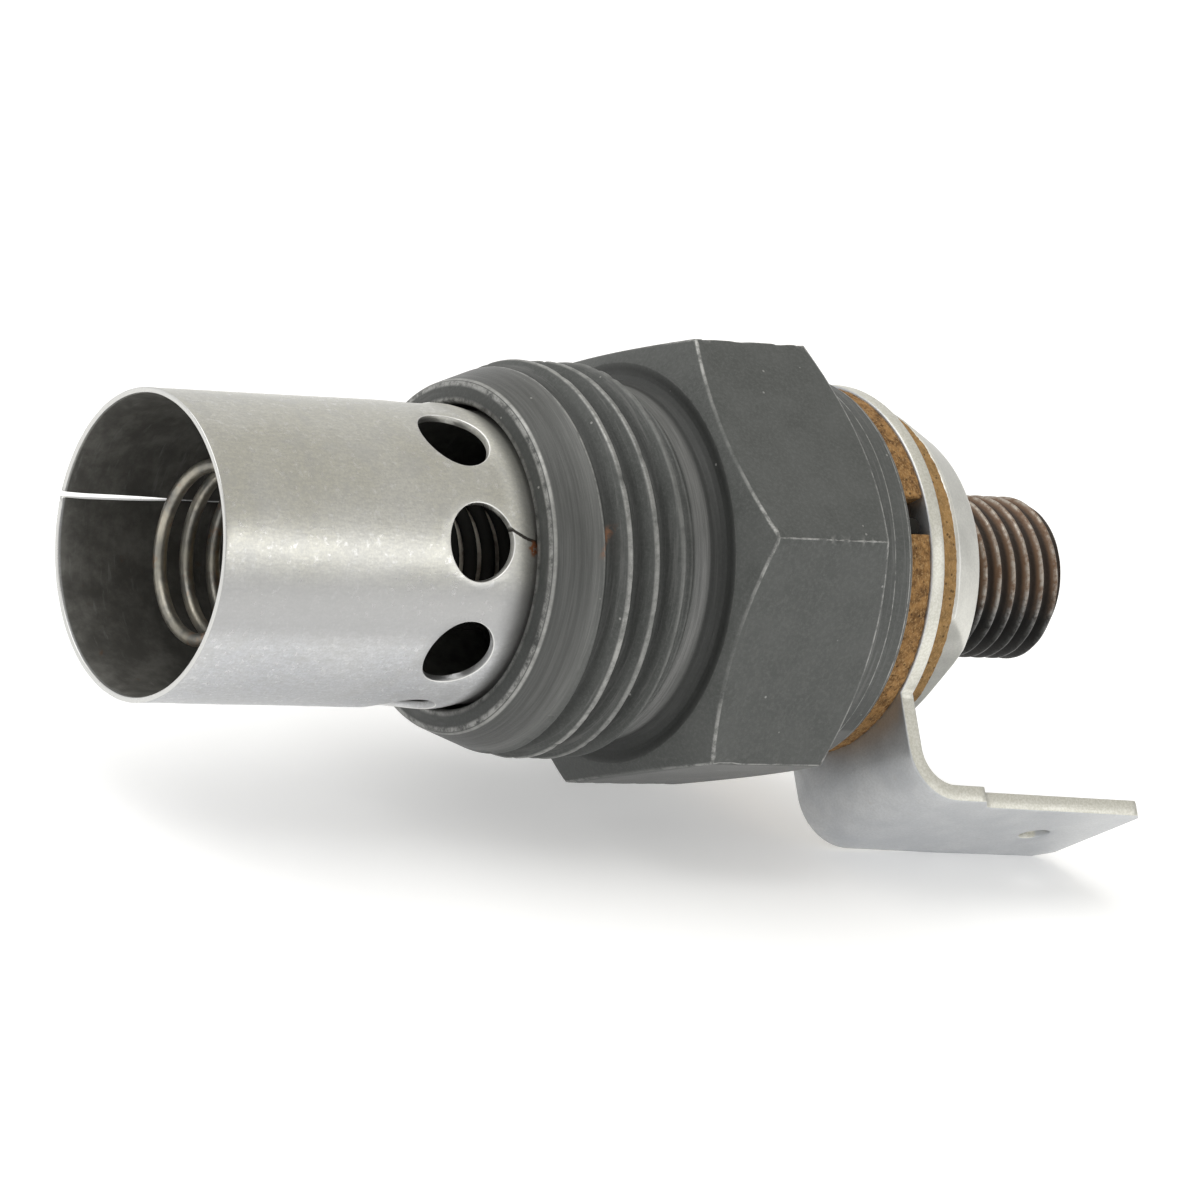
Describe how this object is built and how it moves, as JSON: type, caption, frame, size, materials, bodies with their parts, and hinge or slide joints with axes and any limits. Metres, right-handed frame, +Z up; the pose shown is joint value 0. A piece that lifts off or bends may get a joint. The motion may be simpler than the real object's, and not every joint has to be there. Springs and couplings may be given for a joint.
{
  "type": "diesel cold-start intake heater plug",
  "caption": "Screw-in diesel cold-start intake heater plug: perforated flame shield, threaded hexagon holder, terminal blade and threaded fuel inlet stub.",
  "frame": {"origin": "on the plug's axis, in the plane of the hexagon's front seating shoulder", "axes": "+X along the axis from the open flame shield towards the fuel inlet stub, +Z up through a hexagon corner"},
  "size_m": [0.0636, 0.0263, 0.0283],
  "materials": {
    "holder_steel": "dark phosphate",
    "shield_steel": "satin, sooty inside",
    "fibre": "vulcanised fibre",
    "plated_steel": "pale zinc plate",
    "stub_steel": "dark, rust-tinted",
    "valve_brass": "turned",
    "needle_steel": "ground",
    "ball_steel": "polished",
    "heater_wire": "heat-tinted resistance wire",
    "ceramic": "unglazed ceramic",
    "copper": "soft copper"
  },
  "bodies": {
    "plug": {"holder": "holder_steel", "flame_shield": "shield_steel", "thick_fibre_washer": "fibre", "thin_fibre_washer": "fibre", "terminal_bush": "fibre", "terminal_blade": "plated_steel", "clamp_collar": "plated_steel", "fuel_adaptor": "stub_steel", "adaptor_gasket": "copper", "tube_gasket": "copper", "valve_body": "valve_brass", "coil_sleeve": "ceramic", "heater_coil": "heater_wire", "terminal_lead": "heater_wire", "lead_sleeve": "ceramic"},
    "needle": {"valve_needle": "needle_steel", "valve_end_plug": "valve_brass"},
    "ball": {"valve_ball": "ball_steel"}
  },
  "joints": [
    {"name": "needle_travel", "type": "slide", "parent": "plug", "child": "needle", "axis": [-1, 0, 0], "range_m": [0, 0.00025]},
    {"name": "ball_lift", "type": "slide", "parent": "plug", "child": "ball", "axis": [-1, 0, 0], "range_m": [0, 0.00025]}
  ],
  "couplings": [
    {"joint": "ball_lift", "follows": "needle_travel", "ratio": 1}
  ]
}
